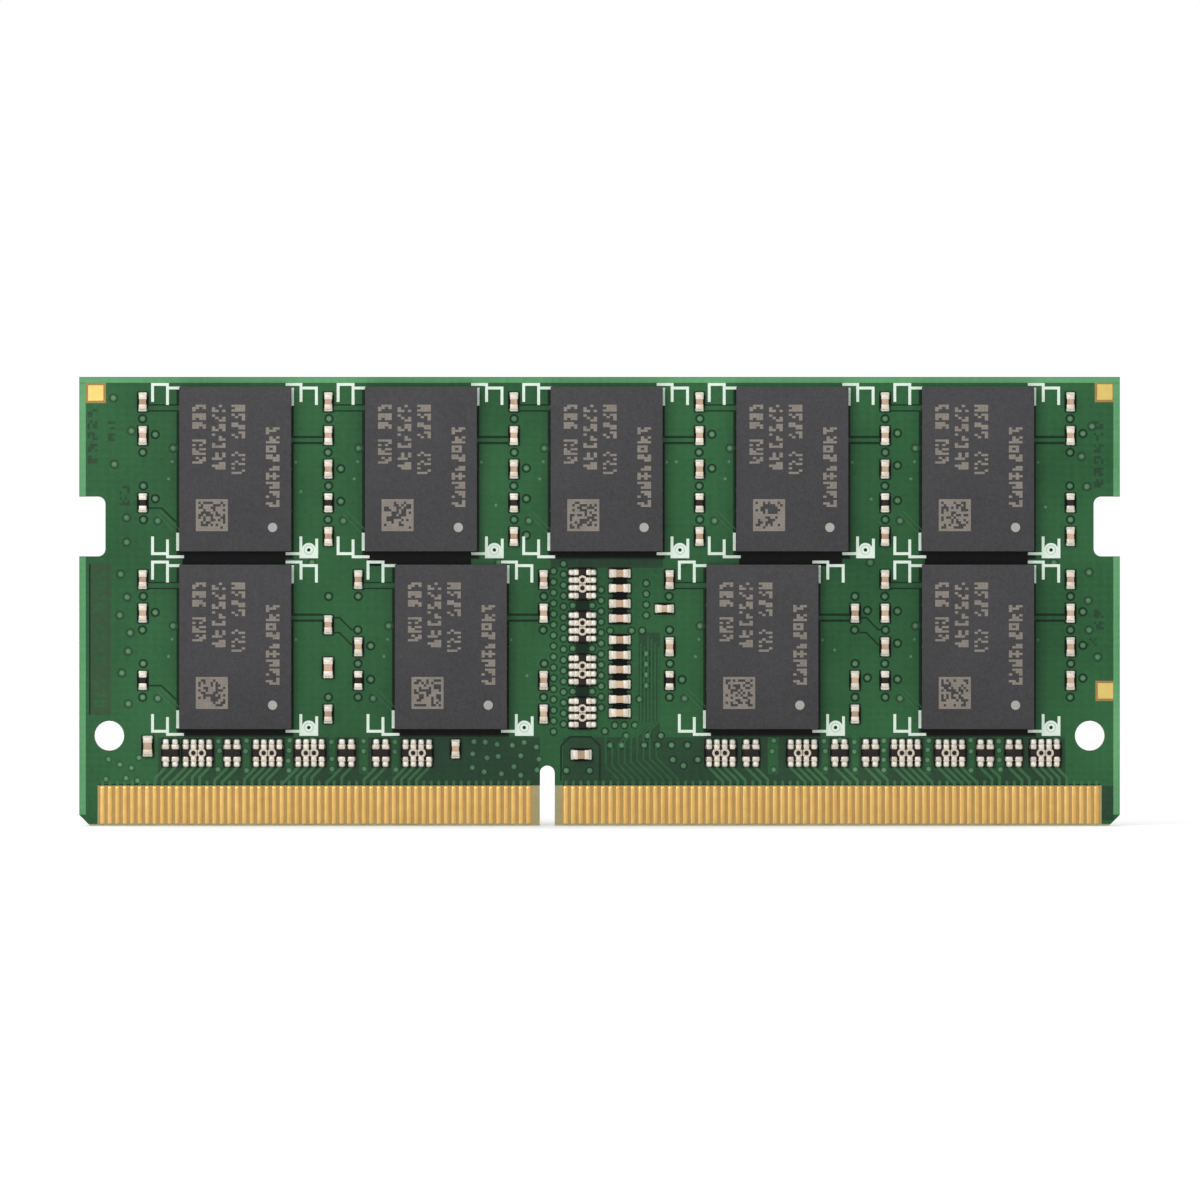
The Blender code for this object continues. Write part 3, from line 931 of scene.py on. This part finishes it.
def bracket_paths(x0, x1, z0, z1):
    """White lines round the four corners of one package."""
    return [
        [(x0 - 1.80, z1 - 1.00), (x0 - 1.80, z1 + 0.17), (x0 - 0.80, z1 + 0.17), (x0 - 0.80, z1 - 1.20)],
        [(x0 - 0.80, z1 - 0.07), (x0 + 0.05, z1 - 0.07)],
        [(x1 - 0.40, z1 + 0.17), (x1 + 0.63, z1 + 0.17), (x1 + 0.63, z1 - 1.00)],
        [(x1 + 0.63, z1 - 0.07), (x1 + 1.66, z1 - 0.07), (x1 + 1.66, z1 - 1.20)],
        [(x0 - 1.80, z0 + 1.00), (x0 - 1.80, z0 - 0.15), (x0 - 0.80, z0 - 0.15)],
        [(x0 - 0.80, z0 + 0.80), (x0 - 0.80, z0 - 0.36), (x0 + 0.30, z0 - 0.36)],
        [(x0 - 0.12, z0 + 0.05), (x0 - 0.12, z0 + 1.25)],
        [(x1 + 0.06, z1 - 0.05), (x1 + 0.06, z1 - 1.25)],
        [(x1 - 0.40, z0 - 0.15), (x1 + 0.62, z0 - 0.15)],
        [(x1 + 0.62, z0 + 1.00), (x1 + 0.62, z0 - 0.36), (x1 + 1.68, z0 - 0.36), (x1 + 1.68, z0 + 0.85)],
    ]


def build_ink(side):
    piece = Piece(named("silkscreen", side), side, INK, INK_GREY, MASK_BARE_AND_SHADE)
    for x0, x1, z0, z1, _ in package_spans(side):
        for rank, path in enumerate(bracket_paths(x0, x1, z0, z1)):
            piece.ribbon(path, INK_WIDTH, INK_TOP - rank * INK_STEP, INK)
        for radius, rise, finish in ((0.47, 0.001, INK), (0.33, 0.002, INK_GREY), (0.28, 0.003, INK),
                                     (0.12, 0.004, MASK_BARE_AND_SHADE)):
            piece.plate(disc(x1 + 1.15, z0 + 0.10, radius, 20), INK_TOP + rise, finish)
        piece.patch(x1 + 1.15, z0 - 0.15, 1.0, 0.36, INK_TOP, INK)
    piece.build("silkscreen")


# Vias and tracks

# share of the cap's radius, and height
VIA_COLLAR = ((1.25, BURIED), (1.25, HALO_TOP + 0.001), (0.9, HALO_TOP + 0.006))
VIA_DOME = ((0.85, BURIED), (0.85, HALO_TOP + 0.007), (0.5, CAP_TOP))


def add_via(piece, x, z, ring, cap, ground):
    """A plugged via: etched clearance ring round a small domed cap, whose lighter colour is partly a
    painted highlight.
    """
    if ring:
        piece.plate(disc(x, z, ring), HALO_TOP, ground)
    for levels, count, finish in ((VIA_COLLAR, 12, MASK_TRACK), (VIA_DOME, 10, VIA_CAP_AND_HIGHLIGHT)):
        piece.loft([at(disc(x, z, cap * share, count), height) for share, height in levels], finish)


def scatter(dice, x0, x1, z0, z1, spacing, tries=240):
    """Random places in a rectangle that keep apart."""
    found = []
    for _ in range(tries):
        x, z = dice.uniform(x0, x1), dice.uniform(z0, z1)
        if all(math.hypot(x - other[0], z - other[1]) > spacing for other in found):
            found.append((x, z))
    return found


def clear_of_openings(x, z):
    """Whether a via can stand here, away from gold pads, holes, notches and the board's ends."""
    if any(abs(x - px) < 1.15 and abs(z - pz) < 1.15 for px, pz in GOLD_PADS):
        return False
    below, above = rim_spans()
    notch = below[1] - 0.6 < z < above[0] + 0.6
    if math.hypot(abs(x) - HOLE_X, z - HOLE_Z) < 1.5:
        return False
    return abs(x) < BOARD_RIGHT - (2.6 if notch else 0.9)


def column_vias(side, dice):
    """Vias between the parts of each column and beside them."""
    found = []
    for package, edge, parts in COLUMNS:
        x, middle = column_middle(side, package, edge)
        for slot in (1.5, 0.5, -0.5, -1.5):
            found.append((x + dice.uniform(-0.04, 0.04), middle + slot * SLOT_PITCH))
        for slot, kind in zip(SLOTS[1:], parts[1:]):
            if kind != "." and dice.random() < 0.8:
                found.append((x + 0.83, middle + slot * SLOT_PITCH + dice.uniform(0.0, 0.3)))
    return found


def package_vias(side, dice):
    """Vias that show beside and below the packages."""
    found = []
    for x0, x1, z0, _, middle in package_spans(side):
        found += [(x0 - 0.42, middle + 1.4), (x0 - 1.45, middle - 3.45),
                  (x1 + 1.41 + dice.uniform(-0.1, 0.1), z0 - 0.75)]
    return found


def small_vias(side, dice):
    """Bare caps, without a clearance ring, sprinkled over the plain copper."""
    found = []
    for x0, x1, _, _, middle in package_spans(side):
        found += [(x0 - 0.48, middle + 0.5), (x0 - 0.72, middle - 0.65), (x1 + 0.27, middle + 0.47),
                  (x1 + dice.uniform(0.6, 1.6), middle + dice.uniform(-3.0, 1.0))]
    return found


def edge_vias(side, dice):
    """Ringed vias between the board's ends and the outermost columns."""
    outer = package_span(side, "upper_1")[0] - COLUMN_GAP
    found = scatter(dice, outer - 2.3, outer - 0.75, 18.3, 28.9, 1.6)
    found += scatter(dice, outer - 1.6, outer - 0.62, 7.4, 17.4, 1.2)
    outer = package_span(side, "upper_5")[1] + COLUMN_GAP
    return found + scatter(dice, outer + 0.7, outer + 1.9, 8.5, 28.0, 1.7)


TRACK_WIDTH = 0.11
VIA_PITCH = 0.715
GAP_VIA_HEIGHTS = (5.62, 5.0, 4.4, 3.75)
NARROWEST_GAP = 0.7            # between two networks, for vias or plain copper
ROW_TOP = 5.9                  # where the finely divided copper round the network row ends
# the regular columns beside the middle networks: offset from the midline, top, count
VIA_COLUMNS = ((-3.55, 17.0, 16), (-2.88, 17.5, 16), (-0.37, 15.75, 12), (2.65, 16.2, 4),
               (2.65, 11.5, 4), (2.20, 11.3, 5), (2.02, 8.6, 2))
# the looser rows below them: height, offsets from the midline
VIA_ROWS = ((13.03, (0.24, 1.67, 2.38, 2.88)), (6.70, (0.55, 1.18, 1.89)), (6.30, (-0.12, 0.6)),
            (6.0, (1.31, 2.74, 3.63)), (5.37, (0.24, 1.0, 2.51, 3.41, 4.34, 5.41)),
            (4.40, (4.43, 6.1)), (3.67, (-2.70, -2.17, -1.14, -0.61)), (4.0, (5.14,)))


def middle_vias(side):
    """The regular columns and rows of vias between the inner packages of the lower row."""
    middle = middle_x(side)
    found = []
    for offset, top, count in VIA_COLUMNS:
        found += [(middle + offset, top - VIA_PITCH * index) for index in range(count)]
    for z, offsets in VIA_ROWS:
        found += [(middle + offset, z) for offset in offsets]
    for z in middle_gaps():
        found += [(middle + MIDDLE_NETWORKS[0] + offset, z) for offset in (-0.65, 0.65)]
    return found


def sensor_vias(dice):
    """Vias round the configuration memory on the rear."""
    x0, x1, z0, z1 = span(SENSOR_NODE)
    middle = middle_x(REAR)
    found = []
    for x, z in scatter(dice, middle - 3.1, middle + 3.1, 7.2, 17.2, 1.15):
        if not (x0 - 0.9 < x < x1 + 0.9 and z0 - 0.6 < z < z1 + 0.6):
            found.append((x, z))
    return found


def middle_gaps():
    heights = MIDDLE_NETWORKS[1]
    return [(first + second) / 2 for first, second in zip(heights, heights[1:])]


def row_vias(side, dice):
    """Bare caps in the gaps of the network row and in the open copper at its ends."""
    nodes = sorted(network_nodes(), key=lambda node: span(node)[0])
    found = []
    for first, second in zip(nodes, nodes[1:]):
        left, right = span(first)[1], span(second)[0]
        if not NARROWEST_GAP <= right - left <= 6:
            continue
        x = (left + right) / 2
        for z in GAP_VIA_HEIGHTS:
            found.append((x + dice.uniform(-0.06, 0.06), z + dice.uniform(-0.08, 0.08)))
    inner = package_span(side, "lower_2")[1]
    found += scatter(dice, inner - 2.4, inner + 2.4, 3.2, 5.7, 0.72)
    first = span("resistor_network_left_1")[0]
    return found + scatter(dice, first - 3.9, first - 1.6, 3.0, 4.6, 0.72)


def fan_out(piece, side):
    """Tracks that run from the network terminals down to the contacts."""
    fingers = finger_places(side, "left") + finger_places(side, "right")
    for node, middle, _, z0, elements in network_places():
        lean = -0.85 if "left" in node else 0.85
        for element in range(elements):
            x = middle + NETWORK_PITCH[elements] * (element - (elements - 1) / 2)
            goal = min(fingers, key=lambda finger: abs(finger - x - lean))
            start = z0 - 0.05
            jog = min(abs(goal - x), start - MASK_EDGE)
            path = [(x, z0 + 0.1), (x, start), (goal, start - jog), (goal, MASK_EDGE)]
            piece.ribbon(path, 0.19, COPPER_TOP, MASK_TRACK)


def add_track(piece, path, width, gap):
    """A copper track under the mask, set off by etched gaps along both sides."""
    piece.ribbon(path, width + 2 * gap, RIM_TOP, MASK_BARE_AND_SHADE)
    piece.ribbon(path, width, RIM_TOP + 0.004, MASK_COPPER)


def add_gap(piece, *path):
    """A narrow etched line."""
    piece.ribbon(path, TRACK_WIDTH, RIM_TOP, MASK_BARE_AND_SHADE)


def build_tracks(side):
    piece = Piece(named("tracks", side), side, MASK_BARE_AND_SHADE, MASK_TRACK, MASK_COPPER)
    fan_out(piece, side)
    for x0, x1, _, _, middle in package_spans(side):
        add_track(piece, [(x0 - 2.1, middle + 4.1), (x0 + 0.2, middle + 4.1)], 0.30, 0.10)
        add_track(piece, [(x1 - 0.2, middle + 1.95), (x1 + 2.1, middle + 1.95)], 0.24, 0.16)
        for shift in (0.0, 0.22):
            path = [(x0 - 1.25 - shift, middle - 2.8 - shift), (x0 + 0.1 - shift, middle - 4.15 - shift)]
            piece.ribbon(path, 0.06, COPPER_TOP - 0.004, MASK_TRACK)
    for place in ("upper_1", "lower_1"):
        x0, _, z0, z1 = package_span(side, place)
        z = (z0 + z1) / 2 - 2.6
        add_gap(piece, (x0 - 2.1, z), (x0 - 1.2, z), (x0 - 0.2, z - 0.95))
    for place in ("lower_1", "lower_3"):
        _, x1, z0, z1 = package_span(side, place)
        for drop in (0.0, 1.0):
            z = (z0 + z1) / 2 + 1.95 - drop
            add_gap(piece, (x1 + 2.75, z), (x1 + 3.2, z), (x1 + 4.0, z - 0.8), (x1 + 4.3, z - 0.8))
    if side == FRONT:
        middle_bundle(piece, side)
    piece.build("solder_mask")


def middle_bundle(piece, side):
    """Long upright tracks beside the middle capacitors, and the outline round the part below."""
    middle = middle_x(side)
    fingers = [x for x in finger_places(side, "right") if x > middle]
    for index in range(9):
        low_x = middle + 0.42 * index - 0.05
        goal = fingers[index + 1]
        jog = abs(goal - low_x)
        path = [(goal, MASK_EDGE), (goal, 3.1), (low_x, 3.1 + jog), (low_x, 5.9 - 0.25 * (index % 3))]
        if 1 < index < 8:
            high_x = middle + 2.28 + 0.24 * (index - 2)
            path[-1] = (low_x, 6.95 - abs(high_x - low_x))
            path += [(high_x, 6.95), (high_x, 12.7 - 0.25 * (index % 4))]
        piece.ribbon(path, TRACK_WIDTH, COPPER_TOP, MASK_COPPER)
    _, x, z, _ = lone_chips(side)[4]
    add_gap(piece, (x - 1.35, 3.0), (x - 1.35, z + 0.6), (x - 0.75, z + 1.2), (x + 0.65, z + 1.2),
            (x + 1.25, z + 0.6), (x + 1.25, 3.0))


def build_vias(side):
    piece = Piece(named("vias", side), side, MASK_BARE_AND_SHADE, MASK_DIM, MASK_TRACK, VIA_CAP_AND_HIGHLIGHT)
    dice = random.Random(11)
    placed = []
    groups = [(row_vias(side, dice), 0.22, 0.15, MASK_BARE_AND_SHADE),
              (column_vias(side, dice), 0.32, 0.16, MASK_BARE_AND_SHADE),
              (package_vias(side, dice) + edge_vias(side, dice), 0.33, 0.16, MASK_DIM),
              (small_vias(side, dice), 0, 0.10, MASK_BARE_AND_SHADE)]
    if side == FRONT:
        groups.insert(0, (middle_vias(side), 0.28, 0.16, MASK_BARE_AND_SHADE))
    else:
        groups.append((sensor_vias(dice), 0.32, 0.16, MASK_DIM))
    for places, ring, cap, ground in groups:
        for place in places:
            if clear_of_openings(*place) and all(math.dist(place, other) > 0.6 for other in placed):
                add_via(piece, *place, ring, cap, ground)
                placed.append(place)
    piece.build("solder_mask", sharp=50)


def build_dark_areas(side):
    """Painted shade under, beside and between the packages and beside the middle capacitors, and mask that
    reads darker where no copper lies below it.
    """
    piece = Piece(named("etched_areas", side), side, MASK_BARE_AND_SHADE, MASK_DIM, MASK_THIN, PAINTED_SHADE, MASK_COPPER)
    for x0, x1, z0, z1, _ in package_spans(side):
        # Painted shadow below and at both sides of each package.
        piece.field(x0 - 0.20, x1 + 0.14, z0 - 0.52, z1, DARK_TOP, MASK_BARE_AND_SHADE)
        piece.field(x0 - 0.05, x1 + 0.05, z0 - 0.40, z1, DARK_TOP + 0.001, PAINTED_SHADE)
    for upper, lower in ROW_PAIRS:
        # Painted shade in the gap between the upper and lower rows.
        x0, x1, z1, _ = package_span(side, upper)
        z0 = package_span(side, lower)[3]
        piece.field(x0 + 0.2, x1 - 0.4, z0 - 0.1, z1 + 0.1, DARK_TOP + 0.002, PAINTED_SHADE)
    # Painted shade below the middle package of the upper row.
    x0, x1, z0, _ = package_span(side, "upper_3")
    piece.field(x0, x1, z0 - 1.1, z0, DIM_TOP, MASK_DIM)
    add_etched_strip(piece, side)
    add_network_ground(piece, side)
    add_contact_end(piece, side)
    if side == FRONT:
        middle = middle_x(side)
        for z in middle_gaps():
            piece.patch(middle + MIDDLE_NETWORKS[0], z, 0.9, 0.8, DARK_TOP, MASK_BARE_AND_SHADE)
        x = middle + MIDDLE_CAPACITORS[0]
        # Painted shade between the middle capacitors.
        piece.field(x - 0.475, x + 0.475, 13.60, 17.1, DARK_TOP, PAINTED_SHADE)
        piece.field(x - 0.475, x + 0.475, 7.35, 12.65, DARK_TOP, PAINTED_SHADE)
        piece.patch(middle + 2.85, 9.4, 1.45, 7.0, DIM_TOP, MASK_DIM)
    piece.build("solder_mask")


STRIP_MIDDLE = 12.45
STRIP_LENGTH = 10.1
# block patterns at the board's ends: left side, lowest cell, number of cells
END_PATTERNS = ((BOARD_LEFT + 0.55, 24.2, 5), (BOARD_LEFT + 1.75, 25.7, 2), (BOARD_LEFT + 2.7, 21.4, 2),
                (BOARD_RIGHT - 1.75, 22.6, 6), (BOARD_RIGHT - 2.2, 12.0, 1), (BOARD_RIGHT - 1.75, 13.1, 2))


def add_etched_strip(piece, side):
    """The dimmer strip at the board's left end, and block patterns in place of etched text."""
    dice = random.Random(3)
    x = BOARD_LEFT + 1.38
    piece.patch(x, STRIP_MIDDLE, 1.47, STRIP_LENGTH, DIM_TOP, MASK_THIN)
    piece.patch(x - 0.68, STRIP_MIDDLE, 0.11, STRIP_LENGTH, DIM_TOP + 0.001, MASK_BARE_AND_SHADE)
    for cell in range(13):
        if cell not in (3, 8):
            add_glyph(piece, x - 0.36, 7.9 + 0.72 * cell, 0.72, 0.5, (BURIED, DIM_TOP + 0.001), dice, 1,
                      MASK_COPPER)
    for left, low, cells in END_PATTERNS:
        for cell in range(cells):
            add_glyph(piece, left, low + 0.78 * cell, 0.66, 0.55, (BURIED, DIM_TOP), dice, 1, MASK_DIM)


def add_contact_end(piece, side):
    """The bare strip beside the last contact on the right."""
    left = span(named("contacts", side, "right"))[1] + LAND_MARGIN
    piece.patch(left + 0.42, 1.5, 0.8, 2.3, DIM_TOP, MASK_DIM)


def add_network_ground(piece, side):
    """The finely divided copper round the network row, with plain copper in the wider gaps."""
    inner = package_span(side, "lower_2")[1]
    for label, count in (("left", LEFT_NETWORKS), ("right", RIGHT_NETWORKS)):
        spans = sorted(span("resistor_network_" + label + "_" + str(n)) for n in range(1, count + 1))
        low, high = spans[0][0] - 0.35, spans[-1][1] + 0.35
        if label == "left":
            high = inner + 2.2
        else:
            low = inner + 3.75
        piece.field(low, high, MASK_EDGE, ROW_TOP, DIM_TOP, MASK_DIM)
        for first, second in zip(spans, spans[1:]):
            room = second[0] - first[1]
            if room > NARROWEST_GAP:
                piece.patch((first[1] + second[0]) / 2, 4.75, min(room * 0.45, 0.7), 2.6,
                            DIM_TOP + 0.0007, MASK_COPPER)


# Surroundings

def build_stage():
    shape = bmesh.new()
    bmesh.ops.create_grid(shape, x_segments=1, y_segments=1, size=FLOOR_HALF)
    mesh = bpy.data.meshes.new("floor")
    shape.to_mesh(mesh)
    shape.free()
    mesh.materials.append(FLOOR)
    floor = bpy.data.objects.new("floor", mesh)
    floor.location = (0.0, 0.0, -FLOOR_GAP)
    bpy.context.scene.collection.objects.link(floor)


def build_world():
    """A white studio: brightest above, full white behind, softer in front, darker to both sides."""
    world = bpy.data.worlds.new("studio")
    world.use_nodes = True
    bpy.context.scene.world = world
    tree = world.node_tree
    direction = add_node(tree, "TexCoord", {}).outputs["Generated"]
    split = add_node(tree, "SeparateXYZ", {0: direction}).outputs
    sideways = compute(tree, "MULTIPLY", split["X"], split["X"])
    upwards = compute(tree, "POWER", compute(tree, "MAXIMUM", split["Z"], 0.0), 2.0)
    total = compute(tree, "MULTIPLY_ADD", split["Y"], WORLD_BEHIND, WORLD_LEVEL)
    total = compute(tree, "MULTIPLY_ADD", sideways, -WORLD_SIDES, total)
    total = compute(tree, "MULTIPLY_ADD", upwards, WORLD_ABOVE, total)
    horizon = compute(tree, "LESS_THAN", compute(tree, "ABSOLUTE", split["Z"]), WORLD_HORIZON)
    total = compute(tree, "MAXIMUM", total, horizon)
    feed(tree, tree.nodes["Background"], {"Color": (1.0, 1.0, 1.0, 1.0), "Strength": total})


def add_light(name, place, aim, size, power):
    data = bpy.data.lights.new(name, "AREA")
    data.shape = "SQUARE"
    data.size = size
    data.energy = power
    light = bpy.data.objects.new(name, data)
    bpy.context.scene.collection.objects.link(light)
    light.location = place
    light.visible_camera = False
    light.rotation_euler = (Vector(aim) - Vector(place)).to_track_quat("-Z", "Y").to_euler()


def build_camera():
    data = bpy.data.cameras.new("camera")
    data.sensor_width = SENSOR
    data.lens = SENSOR * VIEW_DISTANCE / VIEW_WIDTH
    data.clip_start = 0.01
    data.clip_end = 200.0
    camera = bpy.data.objects.new("camera", data)
    bpy.context.scene.collection.objects.link(camera)
    camera.location = (0.03 * MM, -BOARD_FACE - VIEW_DISTANCE, VIEW_HEIGHT)
    camera.rotation_euler = (math.pi / 2, 0.0, 0.0)
    bpy.context.scene.camera = camera


def main():
    bpy.context.scene.view_settings.view_transform = "Standard"
    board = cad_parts[BOARD]
    board.data.materials.clear()
    board.data.materials.append(LAMINATE)
    for side in (FRONT, REAR):
        for build in (build_mask, build_rim, build_dark_areas, build_gold_pads, build_contacts,
                      build_packages, build_balls, build_marks, build_chips, build_ink, build_tracks,
                      build_vias):
            build(side)
    build_networks()
    build_sensor()
    build_stage()
    build_world()
    add_light("key", (-0.14, -0.32, 0.16), (0.0, 0.0, 0.015), 0.16, 0.55)
    build_camera()


main()
